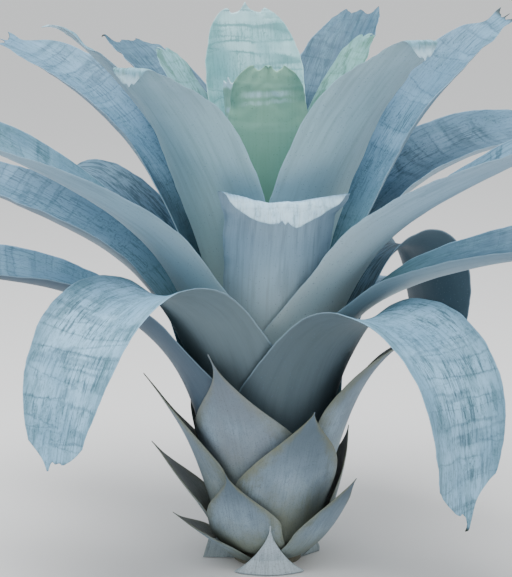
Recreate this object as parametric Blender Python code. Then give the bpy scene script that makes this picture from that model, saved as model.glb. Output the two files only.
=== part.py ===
"""A large silver-blue alcantarea bromeliad, rooted in the ground: a short stem and the leaves that it carries.

Metres, +Z up. The origin is the middle of the flat cut under the stem, at ground level. The front is -Y.
Each leaf is one closed solid. Its foot clasps the stem, its sheath lies round the plant like a piece of a vase, and
its blade is a channelled strap that bends outwards. The leaves follow each other up the stem in a spiral, so each
sheath lies inside the sheaths of the leaves before it.
"""

import math

import bmesh
import bpy
from mathutils import Vector

# The stem, narrower at the cut than a little above it
STEM_HEIGHT = 0.31
STEM_RADIUS = 0.068
CUT_RADIUS = 0.046
CUT_RISE = 0.045
STEM_POWER = 1.6
STEM_TIP_SHARE = 0.985
STEM_SIDES = 32
STEM_RINGS = 20
STEM_RING_POWER = 1.6

# How the leaves sit on it
LEAF_COUNT = 41
TOP_FOOT = 0.285
FOOT_POWER = 1.25
CLEARANCE = 0.0003
WIDEST_CLASP = math.radians(64)

# Leaf thickness at the midrib, and the share of it left at the margins
SHEATH_THICKNESS = 0.0032
THICKNESS_SHARE = 0.01
THICKENS_FROM, THICKENS_TO = 0.25, 0.5
THINS_FROM = 0.8
TIP_THINNER = 0.55
MARGIN_SHARE = 0.4

# Where the sheath, a piece of a round vase, turns into a strap with a channel of its own
VASE_END = 0.095
STRAP_START = 0.19

# Half of a strap leaf's width at its sheath, and the shares of its length where its outline changes
SHEATH_WIDTH = 0.105
SHEATH_END, BLADE_START = 0.16, 0.42
TAPER_START = 0.62
TAPER_POWER = 2.2
POINT_START = 0.955
POINT_NARROWER = 0.93
NARROWEST = 0.0012
CURL_START = 0.9

# The foot of the lowest front leaf is a wedge that reaches in to the stem
WEDGE = 0.034
WEDGE_END = 0.26

# The solid's grid: more rings where the leaf bends
ACROSS = 6
STEPS = 160
BEND_EFFORT = 0.35



def scale(rank, name, azimuth, length, width, leans, full=0.42, blunt=1.5, point=1.5, turn=0.0, foot=None):
    """A short pointed leaf low on the plant."""
    return dict(kind="scale", rank=rank, name=name, azimuth=azimuth, length=length, width=width, leans=leans,
                full=full, blunt=blunt, point=point, turn=turn, twist=0.0, cup=50.0, curl=0.0, foot=foot, stations=8)


def strap(rank, name, azimuth, length, width, leans, cup=45.0, turn=0.0, twist=0.0, curl=0.0, taper=0.56, stations=10):
    """A long leaf with a broad sheath and a blade of even width."""
    return dict(kind="strap", rank=rank, name=name, azimuth=azimuth, length=length, width=width, leans=leans,
                cup=cup, turn=turn, twist=twist, curl=curl, taper=taper, foot=None, stations=stations)


# Azimuth 0 faces the front, positive turns to the viewer's right. The leans are degrees from upright at each fifth
# of the leaf's length, from foot to tip. Width is half of the blade.
LEAVES = [
    scale(0, "scale_leaf_01", 2, 0.080, 0.043, (25, 25, 18, 23, 24, 24), full=0.0, blunt=1.0, point=1.8,
          foot=(0.065, 0.0)),
    scale(1, "scale_leaf_02", 142, 0.100, 0.055, (52, 50, 48, 46, 45, 45)),
    scale(2, "scale_leaf_03", -70, 0.107, 0.055, (50, 50, 50, 50, 50, 50)),
    scale(3, "scale_leaf_04", 52, 0.156, 0.052, (54, 42, 31, 32, 34, 36)),
    scale(4, "scale_leaf_05", -165, 0.150, 0.062, (46, 38, 30, 32, 36, 40)),
    scale(5, "scale_leaf_06", -26, 0.145, 0.058, (50, 34, 12, 20, 28, 38), point=2.0),
    scale(6, "scale_leaf_07", 100, 0.160, 0.058, (42, 25, 16, 14, 12, 8)),
    scale(7, "scale_leaf_08", -94, 0.156, 0.048, (34, 30, 37, 38, 36, 40), turn=14),
    scale(8, "scale_leaf_09", 24, 0.212, 0.082, (14, 18, 18, 21, 26, 32)),
    scale(9, "scale_leaf_10", 165, 0.220, 0.078, (20, 17, 19, 26, 32, 38)),
    scale(10, "scale_leaf_11", -78, 0.235, 0.070, (14, 17, 20, 28, 33, 38), point=2.0),
    scale(11, "scale_leaf_12", 72, 0.305, 0.072, (12, 16, 18, 26, 42, 62), full=0.55, point=1.2),
    scale(12, "scale_leaf_13", -150, 0.290, 0.078, (18, 18, 20, 26, 36, 50)),
    scale(13, "scale_leaf_14", -24, 0.265, 0.090, (12, 17, 18, 22, 30, 36), point=2.4, turn=-12),
    strap(14, "strap_leaf_15", 148, 0.420, 0.055, (12, 19, 33, 56, 78, 98)),
    strap(15, "strap_leaf_16", -68, 0.620, 0.060, (14, 18, 43, 67, 80, 100), twist=-23),
    strap(16, "strap_leaf_17", 34, 0.670, 0.074, (13, 14, 52, 110, 170, 176), turn=18, cup=28, taper=0.7,
          stations=12),
    strap(17, "strap_leaf_18", -135, 0.660, 0.062, (12, 19, 43, 56, 80, 158), stations=12),
    strap(18, "strap_leaf_19", -35, 0.655, 0.075, (12, 15, 45, 90, 144, 172), cup=28, taper=0.7, stations=12),
    strap(19, "strap_leaf_20", 132, 0.552, 0.078, (14, 15, 30, 72, 152, 184), stations=12),
    strap(20, "strap_leaf_21", -100, 0.610, 0.064, (12, 16, 37, 60, 67, 76), twist=-20),
    strap(21, "strap_leaf_22", 172, 0.620, 0.062, (12, 15, 26, 52, 90, 125), stations=12),
    strap(22, "strap_leaf_23", 66, 0.660, 0.066, (12, 17, 57, 73, 80, 90), twist=20),
    strap(23, "strap_leaf_24", -52, 0.700, 0.068, (12, 16, 39, 56, 63, 72), twist=-32),
    strap(24, "strap_leaf_25", 50, 0.700, 0.070, (12, 15, 41, 59, 64, 76), twist=22),
    strap(25, "strap_leaf_26", -150, 0.640, 0.062, (12, 16, 32, 54, 76, 100)),
    strap(26, "strap_leaf_27", 6, 0.410, 0.070, (10, 12, 17, 24, 31, 39), cup=55, curl=100, taper=-0.3),
    strap(27, "strap_leaf_28", 112, 0.620, 0.074, (10, 14, 30, 58, 76, 90), twist=22),
    strap(28, "strap_leaf_29", -112, 0.655, 0.062, (10, 14, 22, 41, 57, 74), twist=-20),
    strap(29, "strap_leaf_30", 108, 0.628, 0.062, (10, 15, 24, 32, 43, 58), twist=20),
    strap(30, "strap_leaf_31", -34, 0.575, 0.070, (9, 12, 19, 34, 45, 55), curl=80),
    strap(31, "strap_leaf_32", 34, 0.615, 0.064, (9, 11, 19, 38, 48, 53), curl=60),
    strap(32, "strap_leaf_33", 160, 0.600, 0.060, (9, 12, 24, 40, 58, 76)),
    strap(33, "strap_leaf_34", -80, 0.580, 0.038, (8, 12, 19, 30, 42, 56)),
    strap(34, "strap_leaf_35", -134, 0.560, 0.060, (8, 10, 20, 36, 50, 62)),
    strap(35, "strap_leaf_36", 146, 0.552, 0.062, (8, 10, 18, 28, 36, 46)),
    strap(36, "strap_leaf_37", -122, 0.470, 0.042, (6, 8, 13, 20, 30, 40)),
    strap(37, "strap_leaf_38", 128, 0.480, 0.042, (6, 8, 15, 21, 30, 38)),
    strap(38, "heart_leaf_39", -165, 0.485, 0.076, (5, 8, 11, 14, 15, 15), taper=0.6),
    strap(39, "heart_leaf_40", 0, 0.405, 0.066, (4, 8, 10, 9, 6, 4)),
    strap(40, "heart_leaf_41", -60, 0.370, 0.046, (3, 6, 9, 8, 7, 6)),
]


def smooth(value, low, high):
    """0 below low, 1 above high, and an even S between them."""
    share = min(max((value - low) / (high - low), 0.0), 1.0)
    return share * share * (3.0 - 2.0 * share)


def stem_radius(height):
    cone = STEM_RADIUS * (1.0 - (min(height, STEM_HEIGHT) / STEM_HEIGHT) ** STEM_POWER)
    return cone - (STEM_RADIUS - CUT_RADIUS) * (1.0 - smooth(height, 0.0, CUT_RISE))


def foot_place(leaf):
    """Distance from the axis and height of the midrib's first point."""
    if leaf["foot"]:
        return leaf["foot"]
    height = TOP_FOOT * (leaf["rank"] / LEAF_COUNT) ** FOOT_POWER
    inner = stem_radius(height) + CLEARANCE
    clasp = min(WIDEST_CLASP, half_width(leaf, 0.0) / inner)
    return inner / math.cos(clasp / ACROSS) + SHEATH_THICKNESS / 2.0, height


def lean_at(leaf, x):
    """The midrib's lean from upright, on a smooth curve through the six given angles."""
    leans = leaf["leans"]
    place = x * (len(leans) - 1)
    index = min(int(place), len(leans) - 2)
    share = place - index
    before, start, end, after = (leans[min(max(index + step, 0), len(leans) - 1)] for step in (-1, 0, 1, 2))
    slope_in = (end - before) / 2.0
    slope_out = (after - start) / 2.0
    square = share * share
    cube = square * share
    lean = ((2 * cube - 3 * square + 1) * start + (cube - 2 * square + share) * slope_in
            + (3 * square - 2 * cube) * end + (cube - square) * slope_out)
    return math.radians(lean + leaf["curl"] * smooth(x, CURL_START, 1.0))


def half_width(leaf, x):
    """Half of the leaf's width, measured along its surface."""
    width = leaf["width"]
    if leaf["kind"] == "scale":
        beyond = min(max((x - leaf["full"]) / (1.0 - leaf["full"]), 0.0), 1.0)
        return max(width * (1.0 - beyond ** leaf["blunt"]) ** leaf["point"], NARROWEST)
    body = SHEATH_WIDTH + (width - SHEATH_WIDTH) * smooth(x, SHEATH_END, BLADE_START)
    taper = 1.0 - leaf["taper"] * max((x - TAPER_START) / (1.0 - TAPER_START), 0.0) ** TAPER_POWER
    point = 1.0 - smooth(x, POINT_START, 1.0) * POINT_NARROWER
    return body * taper * point


def thickness(leaf, x):
    """The leaf's thickness at its midrib."""
    full = max(SHEATH_THICKNESS, THICKNESS_SHARE * leaf["length"])
    blade = SHEATH_THICKNESS + (full - SHEATH_THICKNESS) * smooth(x, THICKENS_FROM, THICKENS_TO)
    wedge = WEDGE * max(1.0 - x / WEDGE_END, 0.0) if leaf["foot"] else 0.0
    return blade * (1.0 - TIP_THINNER * smooth(x, THINS_FROM, 1.0)) + wedge


def midrib(leaf):
    """Points along the middle of the leaf with the leaf's length up to each, its heading and its lean."""
    radius, height = foot_place(leaf)
    heading = math.radians(leaf["azimuth"])
    point = Vector((radius * math.sin(heading), -radius * math.cos(heading), height))
    path = []
    for step in range(STEPS + 1):
        x = step / STEPS
        heading = math.radians(leaf["azimuth"] + leaf["turn"] * x * x)
        lean = lean_at(leaf, x)
        path.append((x, point.copy(), heading, lean))
        run = leaf["length"] / STEPS
        point += run * Vector((math.sin(lean) * math.sin(heading), -math.sin(lean) * math.cos(heading),
                               math.cos(lean)))
    return path


def stations(leaf, path):
    """The steps of the midrib that get a ring of the solid: closer together where the leaf bends."""
    last = round(POINT_START * STEPS)
    effort = [0.0]
    for (_, _, _, lean), (_, _, _, lean_next) in zip(path, path[1:last + 1]):
        effort.append(effort[-1] + 1.0 / STEPS + BEND_EFFORT * abs(lean_next - lean) / math.pi)
    chosen = []
    for number in range(leaf["stations"]):
        goal = effort[-1] * number / (leaf["stations"] - 1)
        chosen.append(min(range(len(effort)), key=lambda step: abs(effort[step] - goal)))
    return [path[step] for step in chosen] + [path[STEPS]]


def ring(leaf, x, point, heading, lean):
    """The closed loop of points round the leaf at one station: along its outer face, then back along its inner."""
    along = Vector((math.sin(lean) * math.sin(heading), -math.sin(lean) * math.cos(heading), math.cos(lean)))
    across = Vector((math.cos(heading), math.sin(heading), 0.0))
    inner = along.cross(across)
    twist = math.radians(leaf["twist"]) * x * x
    across, inner = (across * math.cos(twist) + inner * math.sin(twist),
                     inner * math.cos(twist) - across * math.sin(twist))
    radius = math.hypot(point.x, point.y)
    strap_share = smooth(radius, VASE_END, STRAP_START)
    inward = Vector((-point.x / radius, -point.y / radius, 0.0)).lerp(inner, strap_share).normalized()
    width = min(half_width(leaf, x), WIDEST_CLASP * radius + strap_share)
    cup = math.radians(leaf["cup"]) * half_width(leaf, x) / leaf["width"]
    channel = radius + (width / max(cup, 0.05) - radius) * strap_share
    outer_points, inner_points = [], []
    for column in range(ACROSS + 1):
        share = 2.0 * column / ACROSS - 1.0
        turn = share * width / channel
        middle = point + across * channel * math.sin(turn) + inward * channel * (1.0 - math.cos(turn))
        outwards = across * math.sin(turn) - inward * math.cos(turn)
        half = 0.5 * thickness(leaf, x) * (1.0 - (1.0 - MARGIN_SHARE) * share * share)
        outer_points.append(middle + outwards * half)
        inner_points.append(middle - outwards * half)
    return outer_points + inner_points[::-1]


def make_leaf(leaf, material):
    mesh = bmesh.new()
    rings = [[mesh.verts.new(point) for point in ring(leaf, *place)] for place in stations(leaf, midrib(leaf))]
    count = len(rings[0])
    for lower, upper in zip(rings, rings[1:]):
        for index in range(count):
            after = (index + 1) % count
            mesh.faces.new((lower[index], lower[after], upper[after], upper[index]))
    for column in range(ACROSS):
        opposite = count - 1 - column
        mesh.faces.new((rings[0][column], rings[0][opposite], rings[0][opposite - 1], rings[0][column + 1]))
        mesh.faces.new((rings[-1][column], rings[-1][column + 1], rings[-1][opposite - 1], rings[-1][opposite]))
    bmesh.ops.recalc_face_normals(mesh, faces=mesh.faces)
    data = bpy.data.meshes.new(leaf["name"])
    mesh.to_mesh(data)
    mesh.free()
    data.shade_smooth()
    data.materials.append(material)
    made = bpy.data.objects.new(leaf["name"], data)
    bpy.context.scene.collection.objects.link(made)
    return made


def make_stem(material):
    """The stem is turned round the plant's axis, from the flat cut to its blunt tip."""
    mesh = bmesh.new()
    tip_height = STEM_HEIGHT * STEM_TIP_SHARE
    heights = [tip_height * (number / STEM_RINGS) ** STEM_RING_POWER for number in range(STEM_RINGS + 1)]
    profile = [mesh.verts.new((stem_radius(height), 0.0, height)) for height in heights]
    edges = [mesh.edges.new(pair) for pair in zip(profile, profile[1:])]
    bmesh.ops.spin(mesh, geom=profile + edges, axis=(0.0, 0.0, 1.0), cent=(0.0, 0.0, 0.0),
                   angle=2.0 * math.pi, steps=STEM_SIDES, use_merge=True)
    bmesh.ops.remove_doubles(mesh, verts=mesh.verts, dist=0.00001)
    bmesh.ops.holes_fill(mesh, edges=[edge for edge in mesh.edges if edge.is_boundary])
    bmesh.ops.recalc_face_normals(mesh, faces=mesh.faces)
    data = bpy.data.meshes.new("stem")
    mesh.to_mesh(data)
    mesh.free()
    data.shade_smooth()
    data.materials.append(material)
    made = bpy.data.objects.new("stem", data)
    bpy.context.scene.collection.objects.link(made)
    return made


def make_material(name, colour, roughness):
    material = bpy.data.materials.new(name)
    material.use_nodes = True
    shader = material.node_tree.nodes["Principled BSDF"]
    shader.inputs["Base Color"].default_value = (*colour, 1.0)
    shader.inputs["Roughness"].default_value = roughness
    shader.inputs["Metallic"].default_value = 0.0
    return material


def main():
    for thing in list(bpy.data.objects):
        bpy.data.objects.remove(thing)
    make_stem(make_material("stem", (0.16, 0.12, 0.08), 0.85))
    leaf_materials = {
        "scale": make_material("leaf_scale", (0.30, 0.37, 0.40), 0.60),
        "strap": make_material("leaf_strap", (0.34, 0.45, 0.52), 0.55),
        "heart": make_material("leaf_heart", (0.34, 0.46, 0.43), 0.55),
    }
    for leaf in LEAVES:
        make_leaf(leaf, leaf_materials[leaf["name"].split("_")[0]])


main()
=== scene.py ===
"""The alcantarea bromeliad in its living form: each plain leaf of the frame gives way to a fine one.

A leaf is grown along its midrib, the path that the frame's leaf follows too, by one tree of Geometry Nodes:
a broad sheath round the plant, a channelled blade, and an end with two shoulders and a small point.
"""

import math

import bpy
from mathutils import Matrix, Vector


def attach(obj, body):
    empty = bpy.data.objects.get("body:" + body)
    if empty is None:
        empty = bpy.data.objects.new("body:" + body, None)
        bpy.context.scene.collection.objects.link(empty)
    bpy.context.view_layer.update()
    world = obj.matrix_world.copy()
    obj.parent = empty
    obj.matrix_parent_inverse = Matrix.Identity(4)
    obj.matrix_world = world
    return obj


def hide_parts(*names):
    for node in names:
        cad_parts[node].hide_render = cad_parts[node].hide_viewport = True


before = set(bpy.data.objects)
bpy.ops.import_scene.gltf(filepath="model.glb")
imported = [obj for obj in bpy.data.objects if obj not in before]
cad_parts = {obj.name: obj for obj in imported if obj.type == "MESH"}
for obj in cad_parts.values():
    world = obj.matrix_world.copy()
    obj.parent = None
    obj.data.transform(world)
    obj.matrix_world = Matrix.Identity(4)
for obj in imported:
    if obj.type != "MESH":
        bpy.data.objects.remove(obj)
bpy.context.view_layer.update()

# The stem, narrower at the cut than a little above it
STEM_HEIGHT = 0.31
STEM_RADIUS = 0.068
CUT_RADIUS = 0.046
CUT_RISE = 0.045
STEM_POWER = 1.6

# How the leaves sit on it
LEAF_COUNT = 41
TOP_FOOT = 0.285
FOOT_POWER = 1.25
CLEARANCE = 0.0003
WIDEST_CLASP = math.radians(64)
CLASP_FACETS = 6
SEAT_THICKNESS = 0.0032

# Half of a strap leaf's width at its sheath, and the shares of its length where its outline changes
SHEATH_WIDTH = 0.105
SHEATH_END, BLADE_START = 0.16, 0.42
TAPER_START = 0.62
NARROWEST = 0.0008
NECK_PLACE = 0.955
NECK_REACH = 0.03

# Distance from the axis where the sheath, a piece of a round vase, turns into a strap with its own channel
VASE_END = 0.095
STRAP_START = 0.19

# The foot of the lowest front leaf is a wedge that reaches in to the stem
WEDGE = 0.034
WEDGE_END = 0.26

# Thickness of the living leaf, and the shares of its length where it changes
SHEATH_THICKNESS = 0.0026
BLADE_THICKNESS = 0.0034
THICKENING_START, THICKENING_END = 0.25, 0.5
TIP_THINNER = 0.6
THINNING_START = 0.75

# A folded leaf flattens by this share and leaves the vase before its fold, starting so far ahead of it
FOLD_FLATTENING = 0.8
FLATTENING_LEAD = 0.15
FOLD_LEAD = 0.1
LEAST_CUP = 0.05

# Steps of the midrib, and the least distance from the axis that it is worked out at
STEPS = 200
LEAST_RADIUS = 0.001

# What a leaf has unless its row says otherwise.
# Outline: a scale leaf has its full width up to the share of its length in full, and the powers in blunt
# and point say how it runs to its tip from there. A strap leaf narrows towards its end by the share in
# taper, the later the higher full is, and has a waist, as deep as the share in neck, just below the end.
# Form: its cup, the twist of its blade and the turn of its azimuth are in degrees. Foot is the place of a
# foot that doesn't follow the rule, as distance from the axis and height. A fold turns the end over: the
# share of the length where it starts, the share where it is done, and its angle.
# End: the shoulders drop, from the share of the half width in square outwards, with scallops between them.
# A point, as long as mucro and as wide as nib, stands as far from the middle as aside says.
# Finish: the height of the ripples at the margin and of those on the face in metres, how much more the end
# is ruffled, how far the margin wanders, and the rows of the sheet that the leaf is made from.
# Look: green, and a slate tinge that also carries painted shade, run from 0 upwards: above 0.9 the tinge
# turns into a deep blue-green painted shade, as on leaves in shadow, and on a scale leaf it is a lilac
# painted shade. Bleached, from 0 to 1, whitens a whole scale leaf or a strap leaf's lip, and from 0 to -1 a
# strap leaf's tip is withered.
SCALE_HABIT = {
    "full": 0.42, "blunt": 1.5, "point": 1.5,
    "cup": 50.0, "turn": 0.0, "twist": 0.0, "foot": None, "fold": None,
    "drop": 0.0, "square": 0.6, "scallop": 0.0, "mucro": 0.0, "nib": 0.2, "aside": 0.0,
    "ripple": 0.0012, "surface": 0.0004, "ruffle": 0.0, "wander": 0.05, "rows": 90,
    "green": 0.0, "dusk": 0.0, "bleached": 0.0,
}
STRAP_HABIT = {
    "full": 2.2, "taper": 0.56, "neck": 0.1,
    "cup": 45.0, "turn": 0.0, "twist": 0.0, "foot": None, "fold": None,
    "drop": 0.03, "square": 0.6, "scallop": 0.006, "mucro": 0.016, "nib": 0.12, "aside": 0.0,
    "ripple": 0.003, "surface": 0.0015, "ruffle": 1.0, "wander": 0.07, "rows": 150,
    "green": 0.0, "dusk": 0.0, "bleached": 0.0,
}


def leaf_row(family, number, azimuth, length, width, leans, **own):
    """A leaf with the habit of its family, changed by what is its own."""
    row = dict(SCALE_HABIT if family == "scale" else STRAP_HABIT)
    row.update(family=family, name=f"{family}_leaf_{number:02d}", rank=number - 1)
    row.update(azimuth=azimuth, length=length, width=width, leans=leans)
    row.update(own)
    return row


# Leaves are numbered from the ground up. Azimuth 0 faces the front, positive turns to the viewer's right.
# Length is that of the midrib and width half of the blade, in metres. The leans are degrees from upright at
# each fifth of the length, from foot to tip.
LEAVES = [
    leaf_row("scale", 1, 2, 0.080, 0.043, (25, 25, 18, 23, 24, 24), full=0.0, blunt=1.0, point=1.8,
             foot=(0.065, 0.0), bleached=1.0),
    leaf_row("scale", 2, 142, 0.100, 0.055, (52, 50, 48, 46, 45, 45)),
    leaf_row("scale", 3, -70, 0.107, 0.055, (50, 50, 50, 50, 50, 50)),
    leaf_row("scale", 4, 52, 0.156, 0.052, (54, 42, 31, 32, 34, 36)),
    leaf_row("scale", 5, -165, 0.150, 0.062, (46, 38, 30, 32, 36, 40)),
    leaf_row("scale", 6, -26, 0.145, 0.058, (50, 34, 12, 20, 28, 38), point=2.0, green=0.25),
    leaf_row("scale", 7, 100, 0.160, 0.058, (42, 25, 16, 14, 12, 8)),
    leaf_row("scale", 8, -94, 0.156, 0.048, (34, 30, 37, 38, 36, 40), turn=14),
    leaf_row("scale", 9, 24, 0.212, 0.082, (14, 18, 18, 21, 26, 32), green=0.3),
    leaf_row("scale", 10, 165, 0.220, 0.078, (20, 17, 19, 26, 32, 38)),
    leaf_row("scale", 11, -78, 0.235, 0.070, (14, 17, 20, 28, 33, 38), point=2.0),
    leaf_row("scale", 12, 72, 0.305, 0.072, (12, 16, 18, 26, 42, 62), full=0.55, point=1.2),
    leaf_row("scale", 13, -150, 0.290, 0.078, (18, 18, 20, 26, 36, 50)),
    leaf_row("scale", 14, -24, 0.265, 0.090, (12, 17, 18, 22, 30, 36), point=2.4, turn=-12, dusk=0.6),
    leaf_row("strap", 15, 148, 0.420, 0.055, (12, 19, 33, 56, 78, 98), dusk=0.3),
    leaf_row("strap", 16, -68, 0.620, 0.060, (14, 18, 43, 67, 80, 100), twist=-23, dusk=0.95),
    leaf_row("strap", 17, 34, 0.670, 0.074, (13, 14, 52, 110, 170, 176), full=3.0, taper=0.6, neck=0.0,
             cup=28, turn=18, fold=(0.975, 0.99, 95), drop=0.06, square=0.15, scallop=0.003, mucro=0.045,
             nib=0.13, aside=0.25, green=0.1, bleached=-1.0),
    leaf_row("strap", 18, -135, 0.660, 0.062, (12, 19, 43, 56, 80, 158), dusk=1.8),
    leaf_row("strap", 19, -35, 0.655, 0.075, (12, 15, 45, 90, 144, 172), full=2.5, taper=0.66, neck=0.0,
             cup=28, drop=0.035, square=0.3, scallop=0.003, mucro=0.02, aside=-0.4, green=0.1),
    leaf_row("strap", 20, 132, 0.552, 0.078, (14, 15, 30, 72, 152, 184), taper=0.35, neck=0.0, dusk=2.2),
    leaf_row("strap", 21, -100, 0.610, 0.064, (12, 16, 37, 60, 67, 76), twist=-20, dusk=0.85),
    leaf_row("strap", 22, 172, 0.620, 0.062, (12, 15, 26, 52, 90, 125), dusk=0.2),
    leaf_row("strap", 23, 66, 0.660, 0.066, (12, 17, 57, 73, 80, 90), twist=20, dusk=1.3),
    leaf_row("strap", 24, -52, 0.700, 0.068, (12, 16, 39, 56, 63, 72), twist=-32, green=0.1, dusk=0.8),
    leaf_row("strap", 25, 50, 0.700, 0.070, (12, 15, 41, 59, 64, 76), twist=22, dusk=0.8),
    leaf_row("strap", 26, -150, 0.640, 0.062, (12, 16, 32, 54, 76, 100), dusk=0.3),
    leaf_row("strap", 27, 6, 0.410, 0.070, (10, 12, 17, 24, 31, 39), taper=-0.3, neck=0.0, cup=55,
             fold=(0.88, 0.93, 125), drop=0.08, square=0.1, scallop=0.012, mucro=0.014, aside=0.15,
             ripple=0.005, ruffle=2.0, bleached=0.8),
    leaf_row("strap", 28, 112, 0.620, 0.074, (10, 14, 30, 58, 76, 90), twist=22, dusk=0.75),
    leaf_row("strap", 29, -112, 0.655, 0.062, (10, 14, 22, 41, 57, 74), taper=0.66, neck=0.45, twist=-20,
             drop=-0.014, square=0.5, scallop=0.004, mucro=0.014, nib=0.001, dusk=0.75),
    leaf_row("strap", 30, 108, 0.628, 0.062, (10, 15, 24, 32, 43, 58), taper=0.66, neck=0.45, twist=20,
             drop=-0.014, square=0.5, scallop=0.004, mucro=0.014, nib=0.001, dusk=0.75, bleached=-0.8),
    leaf_row("strap", 31, -34, 0.575, 0.070, (9, 12, 19, 34, 45, 55), full=2.6, taper=0.88, neck=0.0,
             fold=(0.945, 0.97, 125), drop=0.02, scallop=0.003, mucro=0.006, nib=0.3, ruffle=1.2, green=0.4,
             bleached=0.9),
    leaf_row("strap", 32, 34, 0.615, 0.064, (9, 11, 19, 38, 48, 53), full=2.6, taper=0.86, neck=0.0,
             fold=(0.945, 0.97, 120), drop=0.02, scallop=0.003, mucro=0.006, nib=0.3, ruffle=1.2,
             green=0.35, bleached=0.9),
    leaf_row("strap", 33, 160, 0.600, 0.060, (9, 12, 24, 40, 58, 76), dusk=0.3),
    leaf_row("strap", 34, -80, 0.580, 0.038, (8, 12, 19, 30, 42, 56), taper=0.62, neck=0.0,
             fold=(0.93, 1.0, 50), drop=0.01, scallop=0.01, mucro=0.012, nib=0.3, ruffle=2.0, green=0.2,
             bleached=0.7),
    leaf_row("strap", 35, -134, 0.560, 0.060, (8, 10, 20, 36, 50, 62), neck=0.0, fold=(0.972, 1.0, 130),
             drop=0.02, square=0.8, scallop=0.012, mucro=0.03, nib=0.1, aside=0.85, ripple=0.005,
             ruffle=1.5, dusk=1.35, bleached=-1.0),
    leaf_row("strap", 36, 146, 0.552, 0.062, (8, 10, 18, 28, 36, 46), neck=0.0, fold=(0.978, 1.0, 120),
             square=0.7, scallop=0.014, mucro=0.02, nib=0.1, aside=-0.85, ripple=0.005, ruffle=1.5,
             dusk=1.3, bleached=-1.0),
    leaf_row("strap", 37, -122, 0.470, 0.042, (6, 8, 13, 20, 30, 40), fold=(0.955, 1.0, 70), scallop=0.01,
             ruffle=1.6, green=0.7, bleached=0.8),
    leaf_row("strap", 38, 128, 0.480, 0.042, (6, 8, 15, 21, 30, 38), fold=(0.955, 1.0, 80), scallop=0.01,
             ruffle=1.6, green=0.9, bleached=0.8),
    leaf_row("heart", 39, -165, 0.485, 0.076, (5, 8, 11, 14, 15, 15), full=4.5, taper=0.78, neck=0.0,
             drop=0.012, square=0.85, scallop=0.012, green=0.05, bleached=0.2),
    leaf_row("heart", 40, 0, 0.405, 0.066, (4, 8, 10, 9, 6, 4), full=3.2, taper=0.75, neck=0.0,
             fold=(0.965, 0.985, 140), drop=0.02, square=0.75, scallop=0.016, ripple=0.005, ruffle=2.0,
             green=1.0, bleached=0.6),
    leaf_row("heart", 41, -60, 0.370, 0.046, (3, 6, 9, 8, 7, 6), neck=0.0, green=0.8, bleached=0.8),
]


def smooth(value, low, high):
    """0 below low, 1 above high, and an even S between them."""
    share = min(max((value - low) / (high - low), 0.0), 1.0)
    return share * share * (3.0 - 2.0 * share)


# The nodes, written as sums

class Socket:
    """An output of a node. Arithmetic on it adds a Math node, or a Vector Math node, to the same tree."""

    def __init__(self, maker, output):
        self.maker = maker
        self.output = output

    def __add__(self, other):
        return self.maker.sum("ADD", self, other)

    def __radd__(self, other):
        return self.maker.sum("ADD", other, self)

    def __sub__(self, other):
        return self.maker.sum("SUBTRACT", self, other)

    def __rsub__(self, other):
        return self.maker.sum("SUBTRACT", other, self)

    def __mul__(self, other):
        return self.maker.sum("MULTIPLY", self, other)

    def __rmul__(self, other):
        return self.maker.sum("MULTIPLY", other, self)

    def __truediv__(self, other):
        return self.maker.sum("DIVIDE", self, other)

    def __rtruediv__(self, other):
        return self.maker.sum("DIVIDE", other, self)

    def __pow__(self, other):
        return self.maker.sum("POWER", self, other)

    def __abs__(self):
        return self.maker.number("ABSOLUTE", self)


class Maker:
    """Adds nodes to one tree, of shader or of geometry."""

    def __init__(self, tree):
        self.tree = tree

    def node(self, kind, settings=None, sockets=None):
        """A node of this kind: its settings come first, then the values or links of its sockets."""
        made = self.tree.nodes.new(kind)
        for name, value in (settings or {}).items():
            setattr(made, name, value)
        for key, value in (sockets or {}).items():
            if isinstance(value, Socket):
                self.tree.links.new(value.output, made.inputs[key])
            else:
                made.inputs[key].default_value = value
        return made

    def out(self, kind, settings=None, sockets=None, output=0):
        """The named or numbered output of a new node."""
        return Socket(self, self.node(kind, settings, sockets).outputs[output])

    def number(self, operation, *values):
        return self.out("ShaderNodeMath", {"operation": operation}, dict(enumerate(values)))

    def sum(self, operation, first, second):
        vectors = [isinstance(value, Socket) and value.output.type == "VECTOR" for value in (first, second)]
        if not any(vectors):
            return self.number(operation, first, second)
        if all(vectors):
            return self.out("ShaderNodeVectorMath", {"operation": operation}, {0: first, 1: second})
        vector, factor = (first, second) if vectors[0] else (second, first)
        return self.out("ShaderNodeVectorMath", {"operation": "SCALE"}, {0: vector, "Scale": factor})

    def step(self, value, low, high):
        """0 at low, 1 at high, and an even S between them. It falls where low is the higher of the two."""
        return self.out("ShaderNodeMapRange", {"interpolation_type": "SMOOTHSTEP"},
                        {"Value": value, "From Min": low, "From Max": high, "To Min": 0.0, "To Max": 1.0})

    def line(self, field, level, wide):
        """A thin line where the field crosses this level."""
        return 1.0 - self.step(abs(field - level), 0.2 * wide, wide)

    def vector(self, x, y, z):
        return self.out("ShaderNodeCombineXYZ", sockets={0: x, 1: y, 2: z})

    def parts(self, vector):
        made = self.node("ShaderNodeSeparateXYZ", sockets={0: vector})
        return [Socket(self, output) for output in made.outputs]

    def noise(self, vector, detail=2.0, rough=0.5):
        return self.out("ShaderNodeTexNoise", {"noise_dimensions": "3D"},
                        {"Vector": vector, "Scale": 1.0, "Detail": detail, "Roughness": rough})

    def mixed(self, factor, first, second):
        """The first colour, turned into the second as the factor rises."""
        made = self.node("ShaderNodeMix", {"data_type": "RGBA"})
        for name, value in (("Factor_Float", factor), ("A_Color", first), ("B_Color", second)):
            socket = next(entry for entry in made.inputs if entry.identifier == name)
            if isinstance(value, Socket):
                self.tree.links.new(value.output, socket)
            else:
                socket.default_value = value
        return Socket(self, next(entry for entry in made.outputs if entry.identifier == "Result_Color"))


# The leaf's spine

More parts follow.
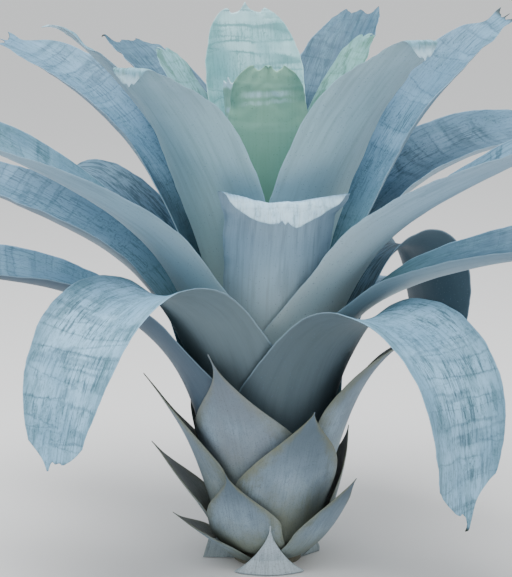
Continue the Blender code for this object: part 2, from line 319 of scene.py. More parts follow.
def stem_radius(height):
    cone = STEM_RADIUS * (1.0 - (min(height, STEM_HEIGHT) / STEM_HEIGHT) ** STEM_POWER)
    return cone - (STEM_RADIUS - CUT_RADIUS) * (1.0 - smooth(height, 0.0, CUT_RISE))


def lean_at(leaf, x):
    """The midrib's lean from upright, on a smooth curve through the six given angles."""
    leans = leaf["leans"]
    place = x * (len(leans) - 1)
    index = min(int(place), len(leans) - 2)
    share = place - index
    before, start, end, after = (leans[min(max(index + step, 0), len(leans) - 1)] for step in (-1, 0, 1, 2))
    slope_in = (end - before) / 2.0
    slope_out = (after - start) / 2.0
    square = share * share
    cube = square * share
    lean = ((2 * cube - 3 * square + 1) * start + (cube - 2 * square + share) * slope_in
            + (3 * square - 2 * cube) * end + (cube - square) * slope_out)
    if leaf["fold"]:
        low, high, angle = leaf["fold"]
        lean += angle * smooth(x, low, high)
    return math.radians(lean)


def half_width(leaf, x):
    """Half of the leaf's width, measured along its surface."""
    width = leaf["width"]
    if leaf["family"] == "scale":
        beyond = min(max((x - leaf["full"]) / (1.0 - leaf["full"]), 0.0), 1.0)
        return max(width * (1.0 - beyond ** leaf["blunt"]) ** leaf["point"], NARROWEST)
    body = SHEATH_WIDTH + (width - SHEATH_WIDTH) * smooth(x, SHEATH_END, BLADE_START)
    taper = 1.0 - leaf["taper"] * max((x - TAPER_START) / (1.0 - TAPER_START), 0.0) ** leaf["full"]
    return body * taper * (1.0 - leaf["neck"] * math.exp(-((x - NECK_PLACE) / NECK_REACH) ** 2))


def thickness(leaf, x):
    thickening = smooth(x, THICKENING_START, THICKENING_END)
    blade = SHEATH_THICKNESS + (BLADE_THICKNESS - SHEATH_THICKNESS) * thickening
    wedge = WEDGE * max(1.0 - x / WEDGE_END, 0.0) if leaf["foot"] else 0.0
    return blade * (1.0 - TIP_THINNER * smooth(x, THINNING_START, 1.0)) + wedge


def foot_place(leaf):
    """Distance from the axis and height of the midrib's first point."""
    if leaf["foot"]:
        return leaf["foot"]
    height = TOP_FOOT * (leaf["rank"] / LEAF_COUNT) ** FOOT_POWER
    inner = stem_radius(height) + CLEARANCE
    clasp = min(WIDEST_CLASP, half_width(leaf, 0.0) / inner)
    return inner / math.cos(clasp / CLASP_FACETS) + SEAT_THICKNESS / 2.0, height


def spine(leaf):
    """Along the midrib: each point, the directions across and inwards there, and the channel's radius, the
    half width and the thickness as one vector."""
    radius, height = foot_place(leaf)
    heading = math.radians(leaf["azimuth"])
    point = Vector((radius * math.sin(heading), -radius * math.cos(heading), height))
    run = leaf["length"] / STEPS
    rows = []
    for step in range(STEPS + 1):
        x = step / STEPS
        heading = math.radians(leaf["azimuth"] + leaf["turn"] * x * x)
        lean = lean_at(leaf, x)
        level = math.sin(lean)
        along = Vector((level * math.sin(heading), -level * math.cos(heading), math.cos(lean)))
        across = Vector((math.cos(heading), math.sin(heading), 0.0))
        inner = along.cross(across)
        twist = math.radians(leaf["twist"]) * x * x
        across, inner = (across * math.cos(twist) + inner * math.sin(twist),
                         inner * math.cos(twist) - across * math.sin(twist))
        radius = max(math.hypot(point.x, point.y), LEAST_RADIUS)
        strap_share = smooth(radius, VASE_END, STRAP_START)
        cup = math.radians(leaf["cup"]) * half_width(leaf, x) / leaf["width"]
        if leaf["fold"]:
            low, high, _ = leaf["fold"]
            strap_share = max(strap_share, smooth(x, low - FOLD_LEAD, low))
            cup *= 1.0 - FOLD_FLATTENING * smooth(x, low - FLATTENING_LEAD, high)
        inward = Vector((-point.x / radius, -point.y / radius, 0.0)).lerp(inner, strap_share).normalized()
        width = min(half_width(leaf, x), WIDEST_CLASP * radius + strap_share)
        channel = radius + (width / max(cup, LEAST_CUP) - radius) * strap_share
        rows.append((point.copy(), across, inward, Vector((channel, width, thickness(leaf, x)))))
        point += run * along
    return rows


# The leaf's tree

# Rows crowd towards the tip. Columns crowd at the margins, and near the tip some way back to the middle
ROW_CROWDING = 1.2
COLUMN_PULL = 0.6
PULL_START = 0.88

# How square the rim is: at the margins, at those of the wedge, and at foot and tip
MARGIN_POWER = 6.0
WEDGE_POWER = 40.0
END_POWER = 60.0

# How sharply the point stands out, and how late the shoulders fall
POINT_POWER = 1.5
SHOULDER_POWER = 1.6

# Waves over half of the width, which make the end uneven: broad scallops and small notches, and how deep the
# notches are against the scallops
SCALLOP_WAVES = 2.2
NOTCH_WAVES = 6.0
NOTCH_DEPTH = 1.2

# Waves in a metre: the margin's wander and ripples, the end's, and the broad ones across and along the face
WANDER_WAVES = 30.0
RIPPLE_WAVES = 24.0
END_WAVES = 30.0
BROAD_ACROSS, BROAD_ALONG = 16.0, 9.0

# The share of the length over which ripples come up, and where the end's ruffle starts and is full
RIPPLE_RISE = 0.25
WANDER_RUFFLE = (0.75, 0.92)
RIPPLE_RUFFLE = (0.72, 0.9)

# Each margin has a seed of its own, this far from the leaf's
SIDE_STEP = 3.7

# The two faces meet at the rim, where points closer than this are one
WELD = 0.000005

LEAF_INPUTS = {
    "Length": 0.6, "Rows": 150, "Columns": 37, "Margin Power": MARGIN_POWER,
    "Shoulder Place": 0.6, "Shoulder Drop": 0.05, "Scallop Depth": 0.012,
    "Point Place": 0.0, "Point Length": 0.02, "Point Width": 0.12,
    "Margin Wander": 0.05, "Margin Ripple": 0.003, "Surface Ripple": 0.0015, "Ripple Start": 0.35,
    "End Ruffle": 1.0, "Green": 0.5, "Bleached Tip": 0.0, "Slate And Shade": 0.0, "Age": 0.0, "Lip Start": 0.93,
    "Seed": 0.0,
}


class LeafMaker(Maker):
    """Adds nodes to the leaf tree, and reads its inputs and attributes."""

    def __init__(self, tree):
        super().__init__(tree)
        self.group = self.node("NodeGroupInput")

    def given(self, name):
        return Socket(self, self.group.outputs[name])

    def read(self, name, kind="FLOAT_VECTOR"):
        return self.out("GeometryNodeInputNamedAttribute", {"data_type": kind}, {"Name": name})

    def store(self, geometry, name, value, kind="FLOAT_VECTOR", domain="POINT"):
        return self.out("GeometryNodeStoreNamedAttribute", {"data_type": kind, "domain": domain},
                        {"Geometry": geometry, "Name": name, "Value": value})


def flat_sheet(maker):
    """A grid whose points hold their place on the leaf: share across from -1 to 1, share along and a seed.
    It also holds how much body the leaf has there, from 0 at the rim to 1."""
    given, step = maker.given, maker.step
    sheet = maker.out("GeometryNodeMeshGrid", sockets={"Size X": 1.0, "Size Y": 1.0,
                                                       "Vertices X": given("Columns"),
                                                       "Vertices Y": given("Rows")})
    flat_x, flat_y, _ = maker.parts(maker.out("GeometryNodeInputPosition"))
    up = 1.0 - (0.5 - flat_y) ** ROW_CROWDING
    spread = maker.number("SINE", flat_x * math.pi)
    side = spread * (1.0 - COLUMN_PULL * step(up, PULL_START, 1.0) * (1.0 - abs(spread)))
    reach = abs(side)
    seed = given("Seed")
    uneven = maker.noise(maker.vector(side * SCALLOP_WAVES, seed, 4.0))
    notches = maker.noise(maker.vector(side * NOTCH_WAVES, seed, 8.0), 3.0)
    aside = (abs(side - given("Point Place")) / given("Point Width")) ** POINT_POWER
    point = 1.0 - maker.number("EXPONENT", aside * -1.0)
    shoulder = given("Shoulder Place")
    dip = maker.number("SINE", maker.number("MINIMUM", reach / shoulder, 1.0) * math.pi) ** 2.0
    fall = maker.number("MAXIMUM", (reach - shoulder) / (1.0 - shoulder), 0.0) ** SHOULDER_POWER
    end = (1.0 - given("Point Length") * point
           - given("Scallop Depth") * (dip * (0.3 + 1.4 * uneven) + NOTCH_DEPTH * notches)
           - given("Shoulder Drop") * fall * (0.7 + 0.6 * uneven))
    body = ((1.0 - abs(spread) ** given("Margin Power")) * (1.0 - abs(2.0 * flat_y) ** END_POWER)) ** 0.5
    sheet = maker.store(sheet, "leaf_share", maker.vector(side, up * end, seed))
    return maker.store(sheet, "leaf_body", body, "FLOAT")


def laid_faces(maker, sheet):
    """The inner and the outer face: the sheet bent round its channel on the spine, with wandering margins,
    ripples and a ruffled end."""
    given, step, noise, vector = maker.given, maker.step, maker.noise, maker.vector
    side, place, _ = maker.parts(maker.read("leaf_share"))
    body = maker.read("leaf_body", "FLOAT")
    curve = maker.out("GeometryNodeMeshToCurve", sockets={"Mesh": given("Spine")})

    def sampled(name):
        made = maker.node("GeometryNodeSampleCurve", {"data_type": "FLOAT_VECTOR", "mode": "FACTOR"},
                          {"Curves": curve, "Value": maker.read(name), "Factor": place})
        return Socket(maker, made.outputs["Value"]), Socket(maker, made.outputs["Position"])

    across, middle = sampled("across")
    inward, _ = sampled("inward")
    channel, width, thick = maker.parts(sampled("form")[0])
    along_m = place * given("Length")
    reach = abs(side)
    seed = given("Seed")
    ruffle = given("End Ruffle")
    which = maker.number("SIGN", side) * SIDE_STEP + seed
    free = step(place, given("Ripple Start"), given("Ripple Start") + RIPPLE_RISE)
    strays = noise(vector(along_m * WANDER_WAVES, which, 1.0), 3.0) - 0.5
    wander = given("Margin Wander") * strays * reach ** 3.0
    width = width * (1.0 + wander * (1.0 + ruffle * step(place, *WANDER_RUFFLE)))
    turn = side * width / channel
    sine = maker.number("SINE", turn)
    cosine = maker.number("COSINE", turn)
    centre = middle + across * (channel * sine) + inward * (channel * (1.0 - cosine))
    outwards = across * sine - inward * cosine
    ruffled = 1.0 + ruffle * step(place, *RIPPLE_RUFFLE)
    margin = (noise(vector(along_m * RIPPLE_WAVES, which, 7.0)) - 0.5) * reach ** 3.0 * 2.0 * ruffled
    ends = (noise(vector(side * 2.5, along_m * END_WAVES, seed + 5.0)) - 0.5) * (ruffled - 1.0)
    broad = (noise(vector(side * width * BROAD_ACROSS, along_m * BROAD_ALONG, seed)) - 0.5) * 2.0
    lift = (given("Margin Ripple") * (margin + ends) + given("Surface Ripple") * broad) * free

    def face(direction):
        moved = centre + outwards * (lift + thick * body * (0.5 * direction))
        return maker.out("GeometryNodeSetPosition", sockets={"Geometry": sheet, "Position": moved})

    outer = face(1.0)
    inner = maker.out("GeometryNodeFlipFaces", sockets={"Mesh": face(-1.0)})
    inner = maker.store(inner, "inner_face", True, "BOOLEAN", "FACE")
    return inner, outer, vector(side * width, along_m, seed)


def leaf_tree():
    """Lays a sheet on a spine: the spine's points carry what the sheet needs there."""
    tree = bpy.data.node_groups.new("leaf_on_spine", "GeometryNodeTree")
    tree.interface.new_socket("Spine", in_out="INPUT", socket_type="NodeSocketGeometry")
    for name, value in LEAF_INPUTS.items():
        kind = "NodeSocketInt" if isinstance(value, int) else "NodeSocketFloat"
        tree.interface.new_socket(name, in_out="INPUT", socket_type=kind).default_value = value
    for name in ("Inner Material", "Outer Material"):
        tree.interface.new_socket(name, in_out="INPUT", socket_type="NodeSocketMaterial")
    tree.interface.new_socket("Leaf", in_out="OUTPUT", socket_type="NodeSocketGeometry")
    maker = LeafMaker(tree)
    given, store, out = maker.given, maker.store, maker.out

    inner, outer, place = laid_faces(maker, flat_sheet(maker))
    joined = maker.node("GeometryNodeJoinGeometry")
    for half in (inner, outer):
        tree.links.new(half.output, joined.inputs[0])
    leaf = out("GeometryNodeMergeByDistance", sockets={"Geometry": Socket(maker, joined.outputs[0]),
                                                       "Distance": WELD})
    leaf = store(leaf, "leaf_place", place)
    leaf = store(leaf, "leaf_look", maker.vector(given("Green"), given("Bleached Tip"), given("Slate And Shade")))
    leaf = store(leaf, "leaf_age", maker.vector(given("Age"), given("Lip Start"), 0.0))
    leaf = out("GeometryNodeSetShadeSmooth", sockets={"Geometry": leaf, "Shade Smooth": True})
    leaf = out("GeometryNodeRealizeInstances", sockets={"Geometry": leaf})
    leaf = out("GeometryNodeSetMaterial", sockets={"Geometry": leaf, "Material": given("Outer Material")})
    leaf = out("GeometryNodeSetMaterial", sockets={"Geometry": leaf, "Material": given("Inner Material"),
                                                   "Selection": maker.read("inner_face", "BOOLEAN")})
    maker.node("NodeGroupOutput", sockets={"Leaf": leaf})
    return tree


# Leaves up to this rank get painted shade on their outer face, and from the second one on painted light
# low on it, deep in the vase; between the two ranks one blends into the other
SHADED_UP_TO, LIT_FROM = 17, 24

# The lip of a folded leaf starts this far after the fold, and without a fold at a share of the length
LIP_AFTER_FOLD = 0.02
PLAIN_LIP_START = 0.95

# A seed for each rank
SEED_STEP = 1.7


def grow(leaf, tree, inner_material, outer_material):
    """The leaf as a plain mesh object at the origin."""
    name = leaf["name"] + "_living"
    points = spine(leaf)
    midrib = bpy.data.meshes.new(name + "_spine")
    midrib.from_pydata([row[0] for row in points], [(index, index + 1) for index in range(STEPS)], [])
    for place, attribute in enumerate(("across", "inward", "form"), start=1):
        layer = midrib.attributes.new(attribute, "FLOAT_VECTOR", "POINT")
        layer.data.foreach_set("vector", [number for row in points for number in row[place]])
    made = bpy.data.objects.new(name, midrib)
    bpy.context.scene.collection.objects.link(made)
    modifier = made.modifiers.new("grow", "NODES")
    modifier.node_group = tree
    values = {
        "Length": leaf["length"], "Rows": leaf["rows"],
        "Margin Power": WEDGE_POWER if leaf["foot"] else MARGIN_POWER,
        "Shoulder Place": leaf["square"], "Shoulder Drop": leaf["drop"], "Scallop Depth": leaf["scallop"],
        "Point Place": leaf["aside"], "Point Length": leaf["mucro"], "Point Width": leaf["nib"],
        "Margin Wander": leaf["wander"], "Margin Ripple": leaf["ripple"], "Surface Ripple": leaf["surface"],
        "End Ruffle": leaf["ruffle"], "Green": leaf["green"], "Bleached Tip": leaf["bleached"],
        "Slate And Shade": leaf["dusk"], "Age": 1.0 - smooth(leaf["rank"], SHADED_UP_TO, LIT_FROM),
        "Lip Start": leaf["fold"][0] + LIP_AFTER_FOLD if leaf["fold"] else PLAIN_LIP_START,
        "Seed": SEED_STEP * leaf["rank"],
        "Inner Material": inner_material, "Outer Material": outer_material,
    }
    for item in tree.interface.items_tree:
        if item.item_type == "SOCKET" and item.in_out == "INPUT" and item.name in values:
            modifier[item.identifier] = values[item.name]
    graph = bpy.context.evaluated_depsgraph_get()
    mesh = bpy.data.meshes.new_from_object(made.evaluated_get(graph))
    mesh.name = name
    made.modifiers.remove(modifier)
    made.data = mesh
    bpy.data.meshes.remove(midrib)
    return made


# Feet of older leaves, under two of the lowest: outer and inner low corner, inner and outer high corner
STUBS = {
    "scale_leaf_03": ((-0.086, -0.011, 0.001), (-0.030, -0.014, 0.001), (-0.028, -0.016, 0.034),
                      (-0.079, -0.006, 0.024)),
    "scale_leaf_04": ((0.070, 0.014, 0.001), (0.033, -0.020, 0.001), (0.030, -0.016, 0.030),
                      (0.064, 0.010, 0.020)),
}
STUB_COLUMNS, STUB_ROWS = 16, 8
STUB_BULGE = 0.004
STUB_THICKNESS = 0.002
STUB_SEED = 40.0
STUB_BLEACH = 0.55

# The piece of a leaf whose marks a stub wears: half of its width, the whole length, and the share of it
# where the piece starts and the share that it spans
STUB_REACH = 0.05
STUB_LENGTH = 0.1
STUB_START, STUB_SPAN = 0.1, 0.3


def stub(leaf, corners, material):
    """The grey rest of an older leaf's foot, flared out on the ground: a thin slab between four corners,
    which becomes part of this grown leaf."""
    low_out, low_in, high_in, high_out = (Vector(corner) for corner in corners)
    normal = (low_in - low_out).cross(high_out - low_out).normalized()
    points = []
    places = []
    shares = []
    for side in (1.0, -1.0):
        for row in range(STUB_ROWS + 1):
            for column in range(STUB_COLUMNS + 1):
                u, v = column / STUB_COLUMNS, row / STUB_ROWS
                point = low_out.lerp(low_in, u).lerp(high_out.lerp(high_in, u), v)
                swell = STUB_BULGE * math.sin(math.pi * v) * (1.0 - 0.5 * u)
                points.append(point + normal * (side * STUB_THICKNESS * 0.5 - swell))
                across, along = 2.0 * u - 1.0, STUB_START + STUB_SPAN * v
                places.append((STUB_REACH * across, STUB_LENGTH * along, STUB_SEED))
                shares.append((across, along, STUB_SEED))
    in_row = STUB_COLUMNS + 1
    in_face = in_row * (STUB_ROWS + 1)
    faces = []
    for row in range(STUB_ROWS):
        for column in range(STUB_COLUMNS):
            first = row * in_row + column
            faces.append((first, first + 1, first + 1 + in_row, first + in_row))
            faces.append(tuple(index + in_face for index in reversed(faces[-1])))
    rim = list(range(in_row)) + [row * in_row + STUB_COLUMNS for row in range(1, STUB_ROWS + 1)]
    rim += [STUB_ROWS * in_row + column for column in reversed(range(STUB_COLUMNS))]
    rim += [row * in_row for row in reversed(range(1, STUB_ROWS))]
    for start, end in zip(rim, rim[1:] + rim[:1]):
        faces.append((end, start, start + in_face, end + in_face))
    mesh = bpy.data.meshes.new("stub")
    mesh.from_pydata(points, [], faces)
    mesh.materials.append(material)
    mesh.polygons.foreach_set("use_smooth", [True] * len(mesh.polygons))
    values = {
        "leaf_place": places,
        "leaf_share": shares,
        "leaf_look": [(0.0, STUB_BLEACH, 0.0)] * len(points),
        "leaf_age": [(1.0, 1.0, 0.0)] * len(points),
    }
    for name, vectors in values.items():
        attribute = mesh.attributes.new(name, "FLOAT_VECTOR", "POINT")
        attribute.data.foreach_set("vector", [number for vector in vectors for number in vector])
    made = bpy.data.objects.new("stub", mesh)
    bpy.context.scene.collection.objects.link(made)
    with bpy.context.temp_override(active_object=leaf, object=leaf, selected_editable_objects=[leaf, made]):
        bpy.ops.object.join()


# Colours and surfaces

def colour(red, green, blue):
    """A screen colour, 0 to 255, as the shader wants it."""
    return tuple((number / 255.0) ** 2.2 for number in (red, green, blue)) + (1.0,)


SLATE = colour(62, 96, 118)
# Painted shade: a deep blue-green laid on the darkest leaves, as on leaves hanging in shadow
DEEP_SHADE = colour(34, 58, 68)
DEEP_GREEN = colour(64, 106, 92)
WHITE_WAX = colour(196, 228, 244)
WITHERED = colour(38, 46, 38)
ASH = colour(204, 220, 230)
# Painted shade on the outer face of the lowest strap leaves, as under the arching leaves
SHADED = colour(60, 66, 78)
# Purple-grey painted shade, towards the fold of the inner leaves and on a scale leaf under the arches
LILAC_SHADE = colour(140, 148, 158)
# Painted light, pale and greenish, on the lower outer face of the inner leaves deep in the vase
PAINTED_LIGHT = colour(228, 246, 246)
DRY_MARGIN = colour(138, 140, 118)
BARK_DARK = colour(84, 84, 76)
BARK_PALE = colour(140, 140, 126)
BARK_PATCH = colour(104, 100, 80)

# How strong the relief is, how faint the shine, and the step of the grain's seed from leaf to leaf
RELIEF = 0.6
DULL_SHINE = 0.35
GRAIN_STEP = 3.1

# A withered tip starts and is fully dark at these shares of the length
TIP_START, TIP_FULL = 0.975, 0.985


class Skin:
    """A material whose colour is laid on in thin coats."""

    def __init__(self, name, ground):
        self.material = bpy.data.materials.new(name)
        self.material.use_nodes = True
        self.maker = Maker(self.material.node_tree)
        self.shader = self.material.node_tree.nodes["Principled BSDF"]
        self.base = ground

    def lay(self, tint, *masks):
        """Lays this tint on, as strong as the product of its masks."""
        mask = masks[0]
        for other in masks[1:]:
            mask = mask * other
        self.base = self.maker.mixed(mask, self.base, tint)

    def finish(self, rough, height, depth):
        """The material, with this roughness, and with the height as a relief of this depth in metres."""
        bump = self.maker.out("ShaderNodeBump",
                              sockets={"Strength": RELIEF, "Distance": depth, "Height": height})
        for name, value in (("Base Color", self.base), ("Roughness", rough), ("Normal", bump)):
            self.maker.tree.links.new(value.output, self.shader.inputs[name])
        self.shader.inputs["Specular IOR Level"].default_value = DULL_SHINE
        return self.material


class LeafSkin(Skin):
    """A leaf's face, with what the leaf tree left on each point: metres across and along and a seed, shares
    across and along, the leaf's green, bleach, and slate tinge that also carries painted shade, its share of
    painted shade on the outer face, whose lack brings painted light low down, and where its lip starts."""

    def __init__(self, name, ground):
        super().__init__(name, ground)
        read = [self.maker.out("ShaderNodeAttribute", {"attribute_name": attribute}, output="Vector")
                for attribute in ("leaf_place", "leaf_share", "leaf_look", "leaf_age")]
        self.across, self.along, seed = self.maker.parts(read[0])
        self.seed = seed * GRAIN_STEP
        side, self.length, _ = self.maker.parts(read[1])
        self.reach = abs(side)
        self.green, self.bleached, self.dusk = self.maker.parts(read[2])
        self.age, self.lip, _ = self.maker.parts(read[3])

    def grain(self, across, along, shift, detail=2.0, rough=0.5, slip=None):
        """Noise with so many waves a metre across and along the leaf, moved along it by the slip."""
        start = self.along if slip is None else self.along + slip
        place = self.maker.vector(self.across * across, start * along, self.seed + shift)
        return self.maker.noise(place, detail, rough)

    def lay_end(self, wear, waver, rise, *worn):
        """The lip, white with wax where the end is bleached, and the tip, dark where it is withered. The
        lip's border wavers with the wear, and rises to full white, both by shares of the length."""
        step = self.maker.step
        lip = step(self.length - self.lip + (wear - 0.5) * waver, 0.0, rise)
        self.lay(WHITE_WAX, lip, self.bleached, *worn)
        withered = self.maker.number("MAXIMUM", self.bleached * -1.0, 0.0)
        self.lay(WITHERED, step(self.length, TIP_START, TIP_FULL), withered)


def inner_material(name, pale, middle, dark, teal, green, banded):
    """A blade's inner face: waxy bloom, worn into dashes, patches, ladders of light bands and cracks."""
    skin = LeafSkin(name, middle)
    step, line = skin.maker.step, skin.maker.line
    bend = skin.grain(34, 16, 0) - 0.5
    jag = skin.grain(260, 60, 1, 3.0, 0.7) - 0.5
    skin.across = skin.across + bend * 0.003
    dashes = skin.grain(330, 30, 9, 4.0, 0.7)
    streaks = skin.grain(150, 13, 0, 4.0, 0.68)
    patches = skin.grain(62, 20, 4, 6.0, 0.72)
    specks = skin.grain(420, 260, 3, 2.0, 0.7)
    clouds = skin.grain(13, 11, 6)
    bands = skin.grain(2.5, 24, 2, slip=bend * 0.006 + jag * 0.008)
    fine = skin.grain(50, 150, 5, slip=jag * 0.004)
    ladder = skin.grain(3, 42, 7, 1.0, slip=bend * 0.01 + jag * 0.004)
    banks = step(clouds, 0.36, 0.56)
    near_end = step(skin.length, 0.45, 0.75)
    at_bend = step(skin.length, 0.4, 0.5) - step(skin.length, 0.55, 0.7)
    cracks = line(bands, 0.57, 0.012) * step(jag, -0.25, 0.1)
    skin.lay(pale, step(clouds, 0.25, 0.7))
    skin.lay(SLATE, skin.dusk, 0.66 + 0.36 * clouds)
    skin.lay(teal, step(patches, 0.47, 0.64), 0.3 + 0.4 * near_end, 1.3 - 0.7 * banded)
    skin.lay(teal, step(streaks, 0.5, 0.66), 0.4)
    skin.lay(dark, step(dashes, 0.52, 0.6), 0.45 + 0.35 * step(clouds, 0.42, 0.6), 1.3 - 0.6 * banded)
    skin.lay(dark, step(specks, 0.55, 0.64), 0.25 + 0.35 * step(patches, 0.45, 0.6))
    skin.lay(dark, line(fine, 0.5, 0.03), step(patches, 0.42, 0.55), 0.08 + 0.4 * at_bend)
    skin.lay(pale, step(ladder, 0.5, 0.6), banks, 0.3 + 0.5 * near_end, banded,
             1.0 - 0.85 * step(skin.dusk, 0.0, 1.2))
    skin.lay(dark, line(ladder, 0.49, 0.035), banks, 0.25 + 0.45 * near_end, banded)
    skin.lay(dark, cracks, 0.15 + 0.3 * near_end)
    skin.lay(teal, step(skin.reach + (patches - 0.5) * 0.6, 0.6, 1.0), 0.5, 1.0 - step(skin.dusk, 0.2, 1.2))
    skin.lay(green, skin.green, 0.6 + 0.4 * clouds)
    skin.lay(DEEP_GREEN, skin.green, step(patches, 0.48, 0.6), 0.7, near_end)
    skin.lay(DEEP_GREEN, 1.0 - step(skin.length, 0.25, 0.62), 0.55)
    # Painted shade: the darkest leaves turn deep blue-green, as in shadow
    skin.lay(DEEP_SHADE, step(skin.dusk, 0.9, 3.0), 0.95)
    skin.lay(pale, step(dashes, 0.6, 0.42), step(skin.dusk, 1.0, 2.0), 0.22)
    skin.lay_end(patches, 0.05, 0.02, 1.0 - 0.5 * step(patches, 0.44, 0.62))
    skin.lay(pale, step(skin.reach, 0.97, 1.0), 0.4)
    return skin.finish(0.5 + 0.2 * patches, dashes * 0.5 + streaks * 0.5 - cracks * 0.4, 0.0007)


def outer_material(name, pale, middle, dark, green, deep):
    """A blade's outer face: an even bloom, finely brushed and veined, with painted shade on the lowest strap
    leaves, painted light low on the inner leaves deep in the vase, and a purple-grey painted shade towards
    the fold of the inner leaves."""
    skin = LeafSkin(name, middle)
    step, line = skin.maker.step, skin.maker.line
    veins = skin.grain(330, 7, 0, 3.0, 0.6)
    rubbed = skin.grain(160, 40, 3, 4.0, 0.65)
    clouds = skin.grain(14, 9, 6)
    bands = skin.grain(4, 40, 2)
    dots = skin.grain(520, 380, 8, 1.0)
    brushed = skin.grain(110, 7, 9, 4.0, 0.62)
    wave = (clouds - 0.5) * 0.05 + (rubbed - 0.5) * 0.012
    rings = line(skin.length + wave, 0.885, 0.013) + 0.6 * line(skin.length + wave * 1.4, 0.862, 0.009)
    unshaded = 1.0 - skin.age
    skin.lay(pale, step(clouds, 0.25, 0.75))
    skin.lay(dark, step(brushed, 0.5, 0.36), 0.34)
    skin.lay(pale, step(brushed, 0.54, 0.7), 0.5)
    skin.lay(dark, step(veins, 0.42, 0.78), 0.3)
    skin.lay(dark, step(rubbed, 0.55, 0.75), 0.2)
    # Painted shade on the outer face of the lowest strap leaves, under the arching leaves
    skin.lay(SHADED, skin.age, 0.82 + 0.14 * clouds)
    # Painted light on the lower outer face of the inner leaves, deep in the vase where shade falls
    skin.lay(PAINTED_LIGHT, unshaded, 1.0 - step(skin.length, 0.25, 0.75), 0.95)
    skin.lay(green, skin.green, 0.6 + 0.4 * clouds)
    skin.lay(DEEP_GREEN, skin.green, 1.0 - step(skin.length, 0.35, 0.85), deep)
    skin.lay(pale, skin.green, step(bands, 0.52, 0.62), step(skin.length, 0.7, 0.9), 0.4)
    skin.lay(WHITE_WAX, rings, 1.0 - step(skin.reach, 0.2, 0.85), deep,
             0.35 + 0.7 * step(brushed, 0.38, 0.6))
    # Purple-grey painted shade towards the fold of the inner leaves
    skin.lay(LILAC_SHADE, unshaded, step(skin.length, 0.55, 0.95), 0.45, 1.0 - skin.green)
    skin.lay(SLATE, skin.dusk, 0.26 + 0.16 * clouds)
    # Painted shade: the darkest leaves turn deep blue-green, as in shadow
    skin.lay(DEEP_SHADE, step(skin.dusk, 0.9, 3.0), 0.95)
    skin.lay(dark, step(dots, 0.68, 0.74), 0.5)
    skin.lay_end(rubbed, 0.04, 0.015)
    skin.lay(pale, step(skin.reach, 0.965, 1.0), 0.4)
    return skin.finish(0.5 + 0.15 * rubbed, veins * 0.5 + rubbed * 0.3, 0.0005)


def scale_material(name, pale, middle, dark, olive):
    """A scale leaf's face: dull bloom, olive blotches at its margins and foot, and fine dark dots."""
    skin = LeafSkin(name, middle)
    step = skin.maker.step
    veins = skin.grain(480, 24, 0, 3.0, 0.6)
    grit = skin.grain(520, 340, 0, 2.0, 0.6)
    mottle = skin.grain(80, 55, 4, 5.0, 0.65)
    clouds = skin.grain(18, 16, 6)
    dots = skin.grain(900, 700, 8, 1.0)
    edge = step(skin.reach + (mottle - 0.5) * 0.7, 0.5, 1.05)
    foot = 1.0 - step(skin.length + (mottle - 0.5) * 0.3, 0.12, 0.55)
    skin.lay(pale, step(clouds, 0.3, 0.7))
    skin.lay(ASH, skin.bleached, 0.75)
    skin.lay(dark, step(veins, 0.42, 0.72), 0.34)
    skin.lay(dark, step(mottle, 0.5, 0.76), 0.34)
    # Painted shade: each scale leaf darker towards its tip, as in shade under the leaves above; less on
    # bleached ones
    skin.lay(dark, step(skin.length, 0.35, 0.9), 0.85, 1.0 - skin.bleached)
    skin.lay(olive, skin.maker.number("MAXIMUM", edge, foot), 0.62 + 0.35 * skin.green,
             1.0 - 0.8 * skin.bleached)
    skin.lay(dark, step(grit, 0.56, 0.68), 0.34)
    # Lilac painted shade on the scale leaf that lies under the arching leaves
    skin.lay(LILAC_SHADE, skin.dusk, 1.0 - step(clouds, 0.35, 0.7), 0.6)
    skin.lay(dark, step(dots, 0.64, 0.7), 0.6)
    skin.lay(DRY_MARGIN, step(skin.reach, 0.975, 1.0), 0.35)
    return skin.finish(0.55 + 0.15 * mottle, veins * 0.4 + grit * 0.4, 0.0006)


def stem_material():
    """Grey fibrous bark."""
    skin = Skin("stem_bark", BARK_DARK)
    position = skin.maker.out("ShaderNodeTexCoord", output="Object")
    x, y, z = skin.maker.parts(position)
    fibres = skin.maker.noise(skin.maker.vector(x * 180.0, y * 180.0, z * 22.0), 4.0, 0.6)
    patches = skin.maker.noise(position * 45.0, 3.0)
    skin.lay(BARK_PALE, fibres)
    skin.lay(BARK_PATCH, skin.maker.step(patches, 0.45, 0.7), 0.5)
    return skin.finish(0.75 + 0.15 * patches, fibres, 0.001)


# The inner and the outer face of each family
MATERIALS = {
    "scale": (
        scale_material("scale_inner", pale=colour(146, 154, 156), middle=colour(118, 124, 126),
                       dark=colour(78, 84, 86), olive=colour(112, 112, 92)),
        scale_material("scale_outer", pale=colour(152, 176, 196), middle=colour(124, 144, 160),
                       dark=colour(82, 98, 110), olive=colour(118, 120, 90)),
    ),
    "strap": (
        inner_material("strap_inner", pale=colour(158, 204, 238), middle=colour(126, 172, 206),
                       dark=colour(44, 80, 98), teal=colour(88, 126, 146), green=colour(106, 156, 140),
                       banded=0.55),
        outer_material("strap_outer", pale=colour(162, 196, 218), middle=colour(136, 170, 194),
                       dark=colour(88, 116, 136), green=colour(150, 194, 182), deep=0.0),
    ),
    "heart": (
        inner_material("heart_inner", pale=colour(184, 228, 236), middle=colour(118, 176, 184),
                       dark=colour(86, 138, 142), teal=colour(116, 174, 178), green=colour(112, 170, 152),
                       banded=1.0),
        outer_material("heart_outer", pale=colour(172, 212, 196), middle=colour(138, 178, 160),
                       dark=colour(92, 130, 112), green=colour(122, 166, 144), deep=0.6),
    ),
}

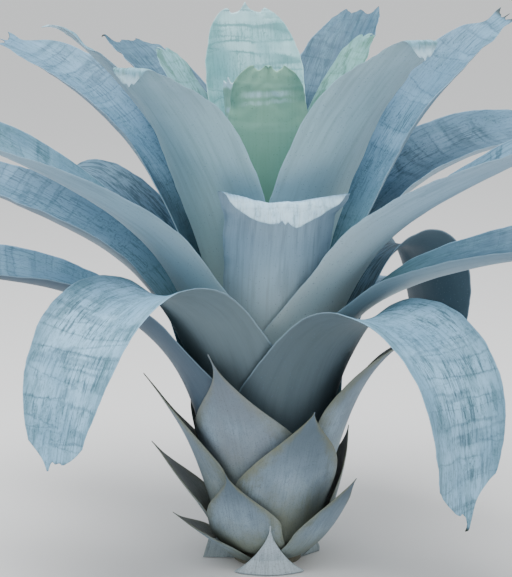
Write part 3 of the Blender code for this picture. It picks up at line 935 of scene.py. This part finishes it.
LEAF_TREE = leaf_tree()
for entry in LEAVES:
    family = entry["family"]
    grown = grow(entry, LEAF_TREE, *MATERIALS[family])
    if entry["name"] in STUBS:
        stub(grown, STUBS[entry["name"]], MATERIALS["scale"][1])
    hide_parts(entry["name"])
    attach(grown, "root")
    family + "_leaf"

BARK = stem_material()
for place in range(len(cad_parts["stem"].data.materials)):
    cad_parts["stem"].data.materials[place] = BARK


# The room, the light and the camera

FLOOR_REACH = 45.0
FLOOR_TINT = (0.80, 0.80, 0.80, 1.0)
FLOOR_ROUGHNESS = 0.9

# The sky's strength at the horizon, how much it rises, and the height of the view where it is full
SKY_TINT = (0.97, 0.99, 1.0, 1.0)
SKY_LOW, SKY_RISE = 0.34, 0.95
SKY_FULL_AT = 0.9

# Where each soft light stands, its power in watts and its size in metres
LIGHTS = {
    "soft_top": ((-0.3, -0.5, 3.0), 108.0, 2.0),
    "soft_front": ((0.6, -3.2, 1.6), 13.0, 2.0),
}
LIT_POINT = (0.0, 0.0, 0.35)

# The photograph's view
CAMERA_PLACE = (-0.015, -2.2, 0.80)
CAMERA_TARGET = (-0.015, 0.0, 0.365)
CAMERA_LENS = 107.3


def make_floor():
    material = bpy.data.materials.new("floor_pale")
    material.use_nodes = True
    shader = material.node_tree.nodes["Principled BSDF"]
    shader.inputs["Base Color"].default_value = FLOOR_TINT
    shader.inputs["Roughness"].default_value = FLOOR_ROUGHNESS
    mesh = bpy.data.meshes.new("floor")
    corners = [(x * FLOOR_REACH, y * FLOOR_REACH, 0.0) for x, y in ((-1, -1), (1, -1), (1, 1), (-1, 1))]
    mesh.from_pydata(corners, [], [(0, 1, 2, 3)])
    mesh.materials.append(material)
    floor = bpy.data.objects.new("floor", mesh)
    bpy.context.scene.collection.objects.link(floor)


def aim(thing, place, target):
    thing.location = place
    thing.rotation_euler = (Vector(target) - Vector(place)).to_track_quat("-Z", "Y").to_euler()


def make_light(name, place, power, size):
    light = bpy.data.lights.new(name, "AREA")
    light.energy = power
    light.size = size
    made = bpy.data.objects.new(name, light)
    bpy.context.scene.collection.objects.link(made)
    aim(made, place, LIT_POINT)


def make_sky():
    """Soft light from all sides, strongest from above."""
    world = bpy.data.worlds.new("soft_white")
    world.use_nodes = True
    maker = Maker(world.node_tree)
    background = world.node_tree.nodes["Background"]
    _, _, height = maker.parts(maker.out("ShaderNodeTexCoord", output="Generated"))
    strength = SKY_LOW + SKY_RISE * maker.step(height, 0.0, SKY_FULL_AT)
    maker.tree.links.new(strength.output, background.inputs["Strength"])
    background.inputs["Color"].default_value = SKY_TINT
    bpy.context.scene.world = world


def make_camera():
    camera = bpy.data.objects.new("camera", bpy.data.cameras.new("camera"))
    bpy.context.scene.collection.objects.link(camera)
    camera.data.lens = CAMERA_LENS
    aim(camera, CAMERA_PLACE, CAMERA_TARGET)
    bpy.context.scene.camera = camera


make_floor()
make_sky()
for light_name, light_values in LIGHTS.items():
    make_light(light_name, *light_values)
make_camera()
